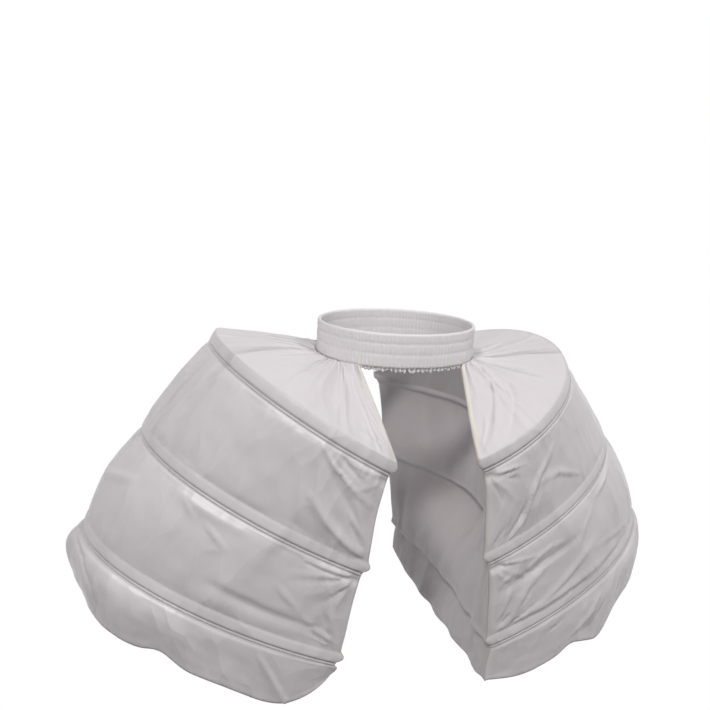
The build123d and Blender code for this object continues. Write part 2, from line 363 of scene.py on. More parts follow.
def flounce_place(side, share, down):
    real, turn = rolled(share)
    swing = 0.8 * hump(down**0.75) + 0.35 * down
    outermost = math.cos(share * math.pi / 2) ** 2
    out = FLAT_OUT + FLOUNCE_FLARE[side] * outermost * swing
    out -= FRONT_TUCK * down * fade(-share, 0.3, 0.9)
    out += HEM_WAVE * down * math.sin(5 * math.pi * share) * (1 - share**2)
    for centre, width, extra, _ in HEM_LOBES[side]:
        out += extra * MM * bell(share - centre, width) * swing
    below = down * FLOUNCE_LENGTH
    out += groove_beside(below, GROOVES[2][1])
    out += HEM_FOLD * fade(down, HEM_FOLD_START, HEM_FOLD_END)
    near_hoop = notched(side, real, below - CHANNEL_FOOT)
    point = bottom_hoop.at(near_hoop, blend(out, SEAM_OUT, turn), CHANNEL_FOOT)
    return point - Vector((0, 0, hem_drop(side, share) * down))


def outer_place(side, share, row):
    if row.stretch == "yoke":
        return mirrored(yoke_place(side, share, row.place), side)
    if row.stretch == "channel":
        return mirrored(channel_place(side, HOOP_OF[row.number], share, row.place), side)
    if row.stretch == "tier":
        return mirrored(tier_place(side, row.number, share, row.place), side)
    return mirrored(flounce_place(side, share, row.place), side)


print("hem drop at the front corners", {s: round(hem_drop(s, -1) / MM) for s in SIDES})

# %% [markdown]
# Taffeta keeps every fold that it has been given. The larger creases are lines on the flat
# cloth, most of them fanning out from the ends of the bones, where the cloth pulls. Each has a
# width and a height in millimetres, a sharper side and a softer one, and points given as share
# and level. The points were picked by eye on the photograph, and a separate script turned them
# from pixels into share and level. A negative height is a valley. The back isn't known, so
# each back takes the creases of the other side's front, turned round.

# %% Creases of the outer cloth
SHARE_LENGTH, LEVEL_LENGTH = 430, 145
FRONT_CREASES = {
    "left": [
        (5, 1.8, (-0.575, 0.05), (-0.80, 0.5), (-0.93, 0.88)),
        (6, -1.5, (-0.56, 0.35), (-0.87, 0.95)),
        (2.5, -1.6, (-0.96, 1.12), (-0.865, 1.15)),
        (2.5, 1.4, (-0.905, 1.2), (-0.865, 1.15)),
        (4, 2.4, (-0.68, 1.2), (-0.78, 1.4), (-0.83, 1.6), (-0.865, 1.83), (-0.905, 1.95)),
        (4, 2.0, (-0.785, 1.52), (-0.695, 1.56), (-0.595, 1.83)),
        (5, -1.8, (-0.79, 1.44), (-0.92, 1.95)),
        (6, 1.3, (-0.94, 1.44), (-0.985, 1.93)),
        (2.5, 1.4, (-0.99, 2.05), (-0.95, 2.3)),
        (2.5, 1.8, (-0.97, 2.33), (-0.915, 2.26)),
        (2.2, -1.2, (-0.96, 2.37), (-0.925, 2.3)),
        (3, 1.6, (-0.88, 2.33), (-0.835, 2.23), (-0.79, 2.2), (-0.74, 2.26)),
        (9, -2.4, (-0.955, 2.44), (-0.83, 2.37), (-0.675, 2.37)),
        (7, 1.8, (-0.86, 2.95), (-0.725, 2.74), (-0.6, 2.56)),
        (7, 1.8, (-0.945, 2.95), (-0.88, 2.56), (-0.79, 2.37)),
        (4, 1.2, (-0.675, 2.52), (-0.64, 2.3), (-0.575, 2.17)),
        (4, 1.4, (-0.54, 2.12), (-0.375, 2.05)),
        (4, 1.2, (-0.64, 2.63), (-0.39, 2.88)),
        (9, 2.2, (-0.91, 2.93), (-0.71, 2.93), (-0.505, 2.93)),
        (3, -1.8, (-0.81, 3.29), (-0.765, 3.21)),
        (4, 2.2, (-0.71, 3.79), (-0.605, 3.2)),
        (5, -1.8, (-0.665, 3.79), (-0.62, 3.58), (-0.565, 3.38)),
    ],
    "right": [
        (4, 1.8, (-0.85, 0.3), (-0.89, 0.68), (-0.91, 0.97)),
        (9, 3.0, (-0.98, 1.97), (-0.895, 1.88), (-0.835, 1.77), (-0.765, 1.6)),
        (2.5, 1.6, (-0.895, 1.56), (-0.975, 1.77)),
        (3.5, 2.0, (-0.715, 1.04), (-0.785, 1.17), (-0.89, 1.30), (-0.97, 1.37)),
        (4, -1.2, (-0.78, 1.03), (-0.90, 1.17)),
        (8, -1.6, (-0.775, 1.12), (-0.845, 1.33), (-0.915, 1.56)),
        (5, 1.0, (-0.95, 1.04), (-0.82, 1.06)),
        (3, 1.4, (-0.97, 2.04), (-0.925, 2.05), (-0.82, 2.06)),
        (2.5, -1.2, (-0.99, 2.06), (-0.94, 2.09), (-0.825, 2.09)),
        (3, 1.6, (-0.985, 2.05), (-0.94, 2.23), (-0.915, 2.37)),
        (2.5, 1.2, (-1.0, 2.33), (-0.95, 2.26)),
        (6, 1.4, (-0.935, 2.44), (-0.97, 2.88)),
        (5, 1.5, (-0.90, 2.77), (-0.99, 2.90)),
        (2.5, 1.6, (-0.525, 2.2), (-0.57, 2.26), (-0.61, 2.33)),
        (2.5, 1.2, (-0.555, 2.44), (-0.60, 2.33)),
        (10, -2.4, (-0.62, 2.74), (-0.765, 2.77), (-0.90, 2.77)),
        (2.5, 1.6, (-0.775, 2.44), (-0.845, 2.6)),
        (2.6, 3.2, (-0.79, 3.2), (-0.83, 3.6), (-0.865, 4.0)),
        (6, 1.5, (0.025, 2.52), (-0.215, 2.26)),
        (4, 1.2, (-0.40, 2.06), (-0.48, 2.2)),
        (5, -3.5, (-0.02, 3.08), (-0.155, 3.17), (-0.24, 3.46), (-0.26, 3.9)),
        (3, 2.0, (-0.27, 3.25), (-0.28, 3.7)),
        (8, 1.4, (-0.395, 2.08), (-0.62, 2.08)),
    ],
}


def turned_to_back(crease):
    width, height, *points = crease
    return (width * 1.1, height * 0.8, *[(-0.97 * share, level) for share, level in points])


def fan(luck, end, level, count):
    """Fine creases that spread from one bone end into the cloth above or below it."""
    creases = []
    for i in range(count):
        lean = math.radians(12 + 66 * (i + luck.random() * 0.7) / count)
        reach = luck.uniform(0.22, 0.62)
        down = luck.choice((-1, 1)) if level < 3 else -1
        start = luck.uniform(0.02, 0.10)
        bend = luck.uniform(-0.03, 0.03)
        steps = [start, start + reach * 0.5, start + reach]
        points = [
            (
                end * (1 - (step * math.cos(lean) + bend * (k == 1)) * LEVEL_LENGTH / SHARE_LENGTH),
                level + down * (0.03 + step * math.sin(lean)),
            )
            for k, step in enumerate(steps)
        ]
        creases.append((luck.uniform(2.2, 4.2), luck.choice((-0.8, 0.7, 1.1)), *points))
    return creases


luck = random.Random(11)
CREASES = {}
for side, other in (("left", "right"), ("right", "left")):
    CREASES[side] = FRONT_CREASES[side] + [turned_to_back(c) for c in FRONT_CREASES[other]]
    for end in (-0.99, 0.99):
        for level, count in ((1, 7), (2, 10), (3, 7)):
            CREASES[side] += fan(luck, end, level, count)


def on_flat(share, level):
    return share * SHARE_LENGTH, level * LEVEL_LENGTH


def crease_pieces(creases):
    """Straight pieces of each crease, in millimetres of flat cloth, with their place along it."""
    pieces = []
    for width, height, *points in creases:
        flat = [on_flat(*point) for point in points]
        lengths = [math.dist(a, b) for a, b in zip(flat, flat[1:])]
        whole, before = sum(lengths), 0.0
        for start, end, length in zip(flat, flat[1:], lengths):
            pieces.append((start, end, length, before / whole, length / whole, width, height))
            before += length
    return pieces


def crease_height(here, pieces):
    height = 0.0
    for start, end, length, before, part, width, tall in pieces:
        off = (here[0] - start[0], here[1] - start[1])
        run = ((end[0] - start[0]) / length, (end[1] - start[1]) / length)
        along = off[0] * run[0] + off[1] * run[1]
        beside = off[0] * run[1] - off[1] * run[0]
        beyond = max(-along, along - length, 0)
        if abs(beside) > 3 * width or beyond > 2 * width:
            continue
        soft = width * (1.5 if beside > 0 else 0.6)
        share = before + part * min(max(along / length, 0), 1)
        profile = bell(beside, max(0.8 * soft, 1.6)) * bell(beyond, width)
        lift = tall * profile * (0.35 + 0.65 * hump(share))
        height = lift if abs(lift) > abs(height) else height
    return height


PIECES = {side: crease_pieces(creases) for side, creases in CREASES.items()}
CREASE_BOOST = 1.7


def looseness(row):
    """0 where the cloth is sewn down, and 1 where it is free."""
    if row.stretch == "channel":
        return 0.0
    if row.stretch == "yoke":
        return fade(row.place, 0, 0.05) * fade(1 - row.place, 0, 0.06)
    if row.stretch == "tier":
        return fade(min(row.place, 1 - row.place), 0, 0.07)
    return fade(row.place, 0, 0.12)


def relief(side, share, row):
    """How far the cloth stands out from its smooth place, in metres."""
    loose = looseness(row)
    edge = fade(1 - abs(share), ROLL_SHARE, 3 * ROLL_SHARE)
    seed = SIDES[side]
    swell = 1.7 * grain(share * 6, row.level * 2.2, 2 * seed)
    swell += 0.6 * grain(share * 19, row.level * 6, 5 * seed)
    height = crease_height(on_flat(share, row.level), PIECES[side])
    if row.stretch == "tier":
        near = min(row.place, 1 - row.place)
        height += 0.9 * bell(near, 0.13) * grain(share * 58, row.number + (row.place > 0.5), seed)
    return (CREASE_BOOST * height + swell) * loose * edge * MM


print("creases", {side: len(creases) for side, creases in CREASES.items()})

# %% [markdown]
# A sheet starts as a flat grid. Every point is then moved to its place on the hoops, and is
# lifted along the surface by the creases. Its UV map keeps the flat cloth's own measure, so
# that the weave follows the cloth. Solidify makes it half a millimetre thick, which is more
# than real taffeta, so that it has two sides.

# %% Cut and hang the outer cloth
CLOTH = 0.5 * MM


def finished_piece(name, bm):
    mesh = bpy.data.meshes.new(name)
    bm.to_mesh(mesh)
    bm.free()
    mesh.polygons.foreach_set("use_smooth", [True] * len(mesh.polygons))
    piece = bpy.data.objects.new(name, mesh)
    bpy.context.scene.collection.objects.link(piece)
    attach(piece, "root")
    return piece


def no_marks(share, row):
    return 0.0, 0.0


def cloth_sheet(name, shares, rows, place, rise, width, marks=no_marks):
    """marks gives the painted shade in a seam and the painted edge highlight, for the material to
    read.
    """
    bm = bmesh.new()
    bmesh.ops.create_grid(bm, x_segments=len(shares) - 1, y_segments=len(rows) - 1, size=1)
    flat = bm.loops.layers.uv.new("cloth")
    # Two marks for the material: painted shade in the seams, and a painted highlight on the rolled
    # edges.
    painted_seam_shade = bm.verts.layers.float.new("painted_seam_shade")
    painted_rim_highlight = bm.verts.layers.float.new("painted_rim_highlight")
    where = {}
    for vert in bm.verts:
        column = round((vert.co.x + 1) / 2 * (len(shares) - 1))
        down = round((1 - vert.co.y) / 2 * (len(rows) - 1))
        where[vert] = (shares[column], rows[down])
    for face in bm.faces:
        for loop in face.loops:
            share, row = where[loop.vert]
            loop[flat].uv = ((share + 1) / 2 * width, -row.depth)
    for vert, (share, row) in where.items():
        vert.co = place(share, row)
        vert[painted_seam_shade], vert[painted_rim_highlight] = marks(share, row)
    bm.normal_update()
    outermost = max(bm.faces, key=lambda f: abs(f.calc_center_median().x))
    if outermost.normal.x * outermost.calc_center_median().x < 0:
        bmesh.ops.reverse_faces(bm, faces=bm.faces)
        bm.normal_update()
    lifts = [(vert, vert.normal * rise(*where[vert])) for vert in bm.verts]
    for vert, lift in lifts:
        vert.co += lift
    return finished_piece(name, bm)


def give_thickness(piece, thick):
    wall = piece.modifiers.new("cloth_thickness", "SOLIDIFY")
    wall.thickness = thick
    wall.offset = -1


# Painted shade: the colour darkens in the stitch grooves under each bone, and just below the bone
# ends where the tips throw shade.
def outer_marks(share, row):
    up = blend(CHANNEL_TOP, CHANNEL_FOOT, row.place)
    near_end = bell((1 - abs(share)) * HALF_ARC, 12 * MM)
    shade = 0.0
    if row.stretch == "channel":
        shade = max(bell(up - LOWER_STITCH, 0.9 * MM), 0.9 * bell(up - LAST_STITCH, 0.9 * MM))
        shade = max(shade, 0.15 * bell(up - UPPER_STITCH, 1.2 * MM))
    elif row.stretch in ("tier", "flounce"):
        shade = 0.5 * near_end * bell(row.place, 0.06)
    # Painted highlight: the rolled front and back edges turn a brighter cream, strongest on the
    # yoke.
    edge = fade(abs(share), 1 - 1.4 * ROLL_SHARE, 1 - 0.5 * ROLL_SHARE)
    return shade, edge * (0.9 if row.stretch == "yoke" else 0.25)


OUTER_WIDTH, OUTER_LENGTH, OUTER_AREA = 0.90, 0.56, 0.42
outer_cloths = {}
for side in SIDES:
    cloth = cloth_sheet(
        f"{side}_outer_cloth",
        OUTER_SHARES,
        ROWS,
        lambda share, row, side=side: outer_place(side, share, row),
        lambda share, row, side=side: relief(side, share, row),
        OUTER_WIDTH,
        outer_marks,
    )
    give_thickness(cloth, CLOTH)
    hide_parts(f"{side}_outer_panel")
    outer_cloths[side] = cloth
    print(cloth.name, len(cloth.data.polygons), "faces")

# %% [markdown]
# The inner cloth closes each pannier on the body side. It uses the same rows, and its front
# and back edges are the turned-in edges of the outer cloth, so the two meet in one seam. Above
# the hips it bows outwards to leave room for the body, and lower down it hangs in soft folds.

# %% Inner cloth
HIP_ROOM = {1: 104 * MM, 2: 82 * MM, 3: 14 * MM, 4: 0}
INNER_HEM_DROP, INNER_FOLD = 52 * MM, 2.8 * MM
FIRST_HOOP_ROW = ROWS[STRETCHES[0][2]]


def hip_room(level):
    low = max(1, min(3, int(level)))
    return blend(HIP_ROOM[low], HIP_ROOM[low + 1], fade(level - low, 0, 1))


def hip_row(side, front, back, share, level):
    point = blend(front, back, (share + 1) / 2)
    point.x += SIDES[side] * hip_room(level) * max(math.cos(share * math.pi / 2), 0) ** 1.3
    return point


def inner_yoke(side, share, row, front, back):
    """Above the first hoop the cloth runs from the waist seam out to the hip."""
    hip_front = outer_place(side, -1, FIRST_HOOP_ROW)
    hip_back = outer_place(side, 1, FIRST_HOOP_ROW)
    hip = hip_row(side, hip_front, hip_back, share, 1)
    point = blend(mirrored(waist_point(share, WAIST_SEAM), side), hip, row.place)
    end, hip_end = (front, hip_front) if share < 0 else (back, hip_back)
    waist_end = mirrored(waist_point(math.copysign(1, share), WAIST_SEAM), side)
    return point + (end - blend(waist_end, hip_end, row.place)) * abs(share) ** 6


def inner_place(side, share, row):
    front, back = outer_place(side, -1, row), outer_place(side, 1, row)
    if row.stretch == "yoke":
        return inner_yoke(side, share, row, front, back)
    point = hip_row(side, front, back, share, row.level)
    if row.stretch == "flounce":
        corner = blend(FRONT_CORNER_DROP[side], BACK_CORNER_DROP, (share + 1) / 2)
        point.z -= (INNER_HEM_DROP - corner) * row.place * (1 - share**4)
    slack = fade(row.level, 1.3, 3.2) * fade(1 - abs(share), 0, 0.12)
    fold = math.sin(17 * share + 1.5 * grain(share * 3, row.level, 9)) * (0.7 - 0.5 * share)
    point.x += SIDES[side] * INNER_FOLD * slack * fold
    return point


def inner_relief(side, share, row):
    loose = fade(1 - abs(share), 0, 0.15)
    swell = 2.0 * grain(share * 5, row.level * 0.9, 7 * SIDES[side])
    swell += 0.7 * grain(share * 15, row.level * 3.5, 4 * SIDES[side])
    return swell * loose * MM


INNER_WIDTH, INNER_LENGTH, INNER_AREA = 0.47, 0.56, 0.20
INNER_COLUMNS = 112
INNER_CLOSER = 1.3
INNER_SHARES = [
    math.sin(INNER_CLOSER * (2 * i / INNER_COLUMNS - 1)) / math.sin(INNER_CLOSER)
    for i in range(INNER_COLUMNS + 1)
]
inner_cloths = {}
for side in SIDES:
    cloth = cloth_sheet(
        f"{side}_inner_cloth",
        INNER_SHARES,
        ROWS,
        lambda share, row, side=side: inner_place(side, share, row),
        lambda share, row, side=side: inner_relief(side, share, row),
        INNER_WIDTH,
    )
    give_thickness(cloth, CLOTH)
    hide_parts(f"{side}_inner_panel")
    inner_cloths[side] = cloth
    print(cloth.name, len(cloth.data.polygons), "faces")

# %% [markdown]
# Each bone lies between the outer cloth and a woven tape, which is stitched on from the
# inside. The tape is a narrow strip with firm selvages, so its section is a flat grid with
# two slightly raised edges.

# %% Casing tapes
TAPE_HALF, TAPE_OUT, TAPE_THICK = 7 * MM, -3.8 * MM, 0.6 * MM
TAPE_SAG, SELVAGE = 0.3 * MM, 0.15 * MM
TAPE_ROWS = [Row("tape", 0, i / 8, 0, i / 8 * 2 * TAPE_HALF) for i in range(9)]
TAPE_SHARES = [0.985 * (2 * i / 150 - 1) for i in range(151)]


def tape_place(side, hoop, share, row):
    up = TAPE_HALF * (1 - 2 * row.place)
    sag = TAPE_SAG * grain(share * 30, row.place * 2, 3)
    return mirrored(hoop.at(share, TAPE_OUT + sag, up), side)


for side in SIDES:
    for name, hoop in HOOPS.items():
        tape = cloth_sheet(
            f"{side}_{name}_tape",
            TAPE_SHARES,
            TAPE_ROWS,
            lambda share, row, side=side, hoop=hoop: tape_place(side, hoop, share, row),
            lambda share, row: SELVAGE * (row.place in (0, 1)),
            2 * HALF_ARC,
        )
        give_thickness(tape, TAPE_THICK)
        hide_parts(f"{side}_{name}_casing")
print("tapes", 2 * len(HOOPS))

# %% [markdown]
# The waistband is a cloth casing over wide elastic. Two rows of shirring stitches run round
# it, and the cloth between them is drawn up into fine upright ribs. Its section is a long flat
# loop, so a grid is bent round the waist one way and round the elastic the other way.

# %% Waistband
RIB_COUNT, RIB_DEPTH = 128, 0.55 * MM
SHIRRING = (10 * MM, -5 * MM)
PINCH_WIDTH, SHIRRING_WIDTH, SHIRRING_DIP = 1.6 * MM, 1.3 * MM, 0.9 * MM
BAND_COLUMNS, BAND_ROWS = 768, 52


def band_section(around):
    """Up the outside, over the top, down the inside and back: how far out and how high."""
    wall, half = BAND_HEIGHT - BAND_THICK, BAND_THICK / 2
    fold = math.pi * half
    walk = around * 2 * (wall + fold)
    if walk < wall:
        return half, walk - wall / 2
    if walk < wall + fold:
        angle = (walk - wall) / half
        return half * math.cos(angle), wall / 2 + half * math.sin(angle)
    if walk < 2 * wall + fold:
        return -half, wall / 2 - (walk - wall - fold)
    angle = math.pi + (walk - 2 * wall - fold) / half
    return half * math.cos(angle), -wall / 2 + half * math.sin(angle)


def rib(turn, height):
    """Upright ribs, uneven in strength, pinched where the shirring crosses them."""
    sway = 0.9 * grain(turn * 7, height / (30 * MM), 4)
    wave = math.cos(RIB_COUNT * turn + sway * 2)
    strength = 0.75 + 0.9 * grain(turn * 6, 1, 8)
    lift = RIB_DEPTH * strength * wave
    for line in SHIRRING:
        lift *= 1 - 0.5 * bell(height - line, PINCH_WIDTH)
        lift -= SHIRRING_DIP * bell(height - line, SHIRRING_WIDTH)
    return lift * fade(BAND_HEIGHT / 2 - abs(height), 0.5 * MM, 5 * MM)


def band_place(turn, around):
    out, height = band_section(around)
    out += rib(turn, height) * (1 if out > 0 else -0.6)
    return around_waist(turn, BAND_THICK / 2 - out, height + 0.5 * MM * grain(turn * 9, 2, 2))


def ring_sheet(name, columns, rows, place, width, height):
    """A grid closed both ways, into a band."""
    bm = bmesh.new()
    bmesh.ops.create_grid(bm, x_segments=columns, y_segments=rows, size=1)
    flat = bm.loops.layers.uv.new("cloth")
    for face in bm.faces:
        for loop in face.loops:
            spot = loop.vert.co
            loop[flat].uv = ((spot.x + 1) / 2 * width, (spot.y + 1) / 2 * height)
    for vert in bm.verts:
        vert.co = place(math.pi * (vert.co.x + 1), (vert.co.y + 1) / 2)
    bmesh.ops.remove_doubles(bm, verts=bm.verts, dist=0.01 * MM)
    bmesh.ops.recalc_face_normals(bm, faces=bm.faces)
    return finished_piece(name, bm)


BAND_ROUND, BAND_WRAP = 0.68, 0.106
waistband = ring_sheet(
    "waistband_cloth", BAND_COLUMNS, BAND_ROWS, band_place, BAND_ROUND, BAND_WRAP
)
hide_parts("waistband_casing")
print("waistband", len(waistband.data.polygons), "faces")

# %% [markdown]
# Between the two panniers the band's seam allowance shows below it as a short gathered edge,
# finished with an overlock stitch. The strip is a grid bent to the waist, with ripples that
# grow towards its raw edge.

# %% Gathered edge under the band
EDGE_HEIGHT, EDGE_WAVES, EDGE_SWING = 6.5 * MM, 26, 1.5 * MM
EDGE_HALF_ANGLE = math.pi / 2 - SEAM_ANGLE - math.radians(1)
EDGE_FLAT, EDGE_AREA, EDGE_CUT = (0.22, 0.0102), 0.0015, 0.30
EDGE_ROWS = [Row("edge", 0, i / 6, 0, i / 6 * EDGE_HEIGHT) for i in range(7)]
EDGE_SHARES = [2 * i / 260 - 1 for i in range(261)]


def edge_place(middle, share, down):
    angle = middle + share * EDGE_HALF_ANGLE
    ripple = math.sin(EDGE_WAVES * math.pi * share + 1.6 * grain(share * 7, middle, 2))
    inset = BAND_THICK / 2 - EDGE_SWING * (0.35 + 0.65 * down) * ripple
    drop = EDGE_HEIGHT * down * (0.85 + 0.5 * grain(share * 20, middle, 5))
    return around_waist(angle, inset, -BAND_HEIGHT / 2 + 1 * MM - drop)


edges = {}
for name, middle in (("front", -math.pi / 2), ("back", math.pi / 2)):
    edge = cloth_sheet(
        f"{name}_gathered_edge",
        EDGE_SHARES,
        EDGE_ROWS,
        lambda share, row, middle=middle: edge_place(middle, share, row.place),
        lambda share, row: 0.0,
        EDGE_CUT,
    )
    give_thickness(edge, CLOTH)
    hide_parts("waistband_gathered_edge")
    edges[name] = edge
print("gathered edges", len(edges))

# %% [markdown]
# Stitches are what tells sewn cloth from a moulded shell. One stitch is a small stretched
# bead, and a function lays a row of them along any line at an even pitch. Thousands are
# needed, so each has only twenty faces.

# %% Stitching
STITCH_LENGTH, STITCH_PITCH, THREAD = 2.4 * MM, 3.3 * MM, 0.28 * MM
OVERLOCK_LENGTH, OVERLOCK_PITCH, OVERLOCK_THREAD = 3.4 * MM, 2.1 * MM, 0.5 * MM


def spaced(line, pitch):
    """Places and directions at an even pitch along a line of points."""
    walked = pitch / 2
    for start, end in zip(line, line[1:]):
        length = (end - start).length
        while walked < length:
            yield start.lerp(end, walked / length), (end - start).normalized()
            walked += pitch
        walked -= length


def add_stitch(bm, place, run, out, length=STITCH_LENGTH, thick=THREAD):
    beside = run.cross(out).normalized()
    frame_of = Matrix((run, beside, beside.cross(run))).transposed().to_4x4()
    size = Matrix.Diagonal((length / 2, thick, thick * 0.8, 1))
    bmesh.ops.create_icosphere(
        bm, subdivisions=1, radius=1, matrix=Matrix.Translation(place) @ frame_of @ size
    )


def stitch_rows(name, lines):
    """lines are pairs: the points of a row of stitches, and the point that it faces away from."""
    bm = bmesh.new()
    count = 0
    for line, behind in lines:
        for place, run in spaced(line, STITCH_PITCH):
            add_stitch(bm, place, run, (place - behind).normalized())
            count += 1
    piece = finished_piece(name, bm)
    print(name, count, "stitches")


def hoop_line(side, hoop, up):
    out = section(up)[0] + 0.15 * MM
    return [mirrored(hoop.at(0.985 * (i / 300 - 1), out, up), side) for i in range(601)]


for side in SIDES:
    lines = []
    for hoop in HOOPS.values():
        behind = mirrored(hoop.start, side)
        lines += [(hoop_line(side, hoop, height), behind) for height, _ in GROOVES]
    stitch_rows(f"{side}_channel_stitches", lines)

# %% [markdown]
# The band's shirring stitches sit in the two dips that they pull into it.

# %% Stitches of the waistband
def band_line(height):
    return [around_waist(2 * math.pi * i / 720, 0.9 * MM, height) for i in range(721)]


stitch_rows("waistband_shirring", [(band_line(h), Vector((0, 0, h))) for h in SHIRRING])


# %% [markdown]
# The raw edge under the band is bound by a leaning loop of thread every two millimetres.

# %% Overlocked edge
def overlock(name):
    """Thread loops laid over the band's lower edge, each leaning a little."""
    bm = bmesh.new()
    for middle in (-math.pi / 2, math.pi / 2):
        line = [edge_place(middle, i / 200 - 1, 0.12) for i in range(401)]
        for place, run in spaced(line, OVERLOCK_PITCH):
            out = Vector((place.x, place.y, 0)).normalized()
            lean = (Vector((0, 0, 1)) * 0.9 + run * 0.45).normalized()
            add_stitch(bm, place + out * 0.9 * MM, lean, out, OVERLOCK_LENGTH, OVERLOCK_THREAD)
    return finished_piece(name, bm)


overlock_thread = overlock("waistband_overlock")
print("overlock", len(overlock_thread.data.polygons), "faces")

# %% [markdown]
# The materials share three effects, each built once as a node group: a plain weave, the fine
# sharp crinkles that taffeta gets from being folded, and a slow drift of tone. The groups give
# only heights and colours, and each material joins them to its own shader.

# %% Node groups
def new_group(name, inputs, outputs):
    group = bpy.data.node_groups.new(name, "ShaderNodeTree")
    for title, kind, value in inputs:
        socket = group.interface.new_socket(title, in_out="INPUT", socket_type=kind)
        if value is not None:
            socket.default_value = value
    for title, kind in outputs:
        group.interface.new_socket(title, in_out="OUTPUT", socket_type=kind)
    return group, group.nodes.new("NodeGroupInput"), group.nodes.new("NodeGroupOutput")


def math_node(tree, kind, first, second=None):
    node = tree.nodes.new("ShaderNodeMath")
    node.operation = kind
    for socket, value in zip(node.inputs, (first, second)):
        if isinstance(value, bpy.types.NodeSocket):
            tree.links.new(value, socket)
        elif value is not None:
            socket.default_value = value
    return node.outputs[0]


def noise_node(tree, vector, scale, detail=2.0):
    node = tree.nodes.new("ShaderNodeTexNoise")
    node.inputs["Detail"].default_value = detail
    tree.links.new(vector, node.inputs["Vector"])
    if isinstance(scale, bpy.types.NodeSocket):
        tree.links.new(scale, node.inputs["Scale"])
    else:
        node.inputs["Scale"].default_value = scale
    return node.outputs["Fac"]


def mixed_colour(tree, factor):
    node = tree.nodes.new("ShaderNodeMix")
    node.data_type = "RGBA"
    tree.links.new(factor, node.inputs["Factor"])
    return node


def weave_group():
    """Threads over and under: a product of two sine waves on the flat cloth."""
    group, start, end = new_group(
        "plain_weave",
        [("Cloth", "NodeSocketVector", None), ("Threads", "NodeSocketFloat", 1600)],
        [("Height", "NodeSocketFloat")],
    )
    apart = group.nodes.new("ShaderNodeSeparateXYZ")
    group.links.new(start.outputs["Cloth"], apart.inputs[0])
    turn = math_node(group, "MULTIPLY", start.outputs["Threads"], math.pi)
    waves = []
    for axis in ("X", "Y"):
        along = math_node(group, "MULTIPLY", apart.outputs[axis], turn)
        waves.append(math_node(group, "SINE", along))
    height = math_node(group, "MULTIPLY", *waves)
    group.links.new(height, end.inputs["Height"])
    return group


def crinkle_group():
    """Long facets with sharp edges, on the bias of the cloth, in patches."""
    group, start, end = new_group(
        "crinkles",
        [("Cloth", "NodeSocketVector", None), ("Scale", "NodeSocketFloat", 14)],
        [("Height", "NodeSocketFloat")],
    )
    scale = start.outputs["Scale"]
    bias = group.nodes.new("ShaderNodeMapping")
    bias.inputs["Rotation"].default_value = (0, 0, math.radians(38))
    bias.inputs["Scale"].default_value = (1, 0.4, 1)
    group.links.new(start.outputs["Cloth"], bias.inputs["Vector"])
    cloth = bias.outputs["Vector"]
    drift = group.nodes.new("ShaderNodeTexNoise")
    drift.inputs["Scale"].default_value = 9
    group.links.new(cloth, drift.inputs["Vector"])
    bent = group.nodes.new("ShaderNodeVectorMath")
    bent.operation = "MULTIPLY_ADD"
    bent.inputs[1].default_value = (0.07, 0.07, 0)
    group.links.new(drift.outputs["Color"], bent.inputs[0])
    group.links.new(cloth, bent.inputs[2])
    cells = group.nodes.new("ShaderNodeTexVoronoi")
    group.links.new(bent.outputs[0], cells.inputs["Vector"])
    group.links.new(scale, cells.inputs["Scale"])
    patches = noise_node(group, cloth, math_node(group, "MULTIPLY", scale, 0.3))
    mask = math_node(group, "MULTIPLY", math_node(group, "SUBTRACT", patches, 0.38), 4.0)
    held = math_node(group, "MINIMUM", math_node(group, "MAXIMUM", mask, 0.0), 1.0)
    facets = math_node(group, "MULTIPLY", cells.outputs["Distance"], held)
    group.links.new(facets, end.inputs["Height"])
    return group


def tone_group():
    """A slow drift between two tones of the same cloth."""
    group, start, end = new_group(
        "drift_of_tone",
        [
            ("Cloth", "NodeSocketVector", None),
            ("Scale", "NodeSocketFloat", 6),
            ("Light", "NodeSocketColor", (0.8, 0.8, 0.8, 1)),
            ("Shade", "NodeSocketColor", (0.7, 0.7, 0.7, 1)),
        ],
        [("Color", "NodeSocketColor")],
    )
    field = noise_node(group, start.outputs["Cloth"], start.outputs["Scale"], 3.0)
    mixed = mixed_colour(group, field)
    group.links.new(start.outputs["Light"], mixed.inputs["A"])
    group.links.new(start.outputs["Shade"], mixed.inputs["B"])
    group.links.new(mixed.outputs["Result"], end.inputs["Color"])
    return group


WEAVE, CRINKLES, TONE = weave_group(), crinkle_group(), tone_group()
print("node groups", [group.name for group in (WEAVE, CRINKLES, TONE)])

# %% [markdown]
# Polyester taffeta is white with a slight cool cast. It has a soft sheen rather than a gloss,
# and light finds every crease in it. Its colour stays just under white, so that the lamps can
# bring out the folds without washing them away.

# %% Cloth materials
def place_group(tree, group, **values):
    node = tree.nodes.new("ShaderNodeGroup")
    node.node_tree = group
    for title, value in values.items():
        if isinstance(value, bpy.types.NodeSocket):
            tree.links.new(value, node.inputs[title])
        else:
            node.inputs[title].default_value = value
    return node.outputs[0]


def new_material(name, roughness, **sockets):
    material = bpy.data.materials.new(name)
    material.use_nodes = True
    shader = material.node_tree.nodes["Principled BSDF"]
    shader.inputs["Roughness"].default_value = roughness
    for title, value in sockets.items():
        shader.inputs[title.replace("_", " ")].default_value = value
    return material, material.node_tree, shader


def bump(tree, height, distance, below=None):
    node = tree.nodes.new("ShaderNodeBump")
    node.inputs["Distance"].default_value = distance
    tree.links.new(height, node.inputs["Height"])
    if below is not None:
        tree.links.new(below, node.inputs["Normal"])
    return node.outputs["Normal"]


def tinted(tree, colour, mark, tint):
    """The colour turned towards a tint where the cloth carries a mark."""
    amount = tree.nodes.new("ShaderNodeAttribute")
    amount.attribute_name = mark
    mixed = mixed_colour(tree, amount.outputs["Fac"])
    tree.links.new(colour, mixed.inputs["A"])
    mixed.inputs["B"].default_value = tint
    return mixed.outputs["Result"]


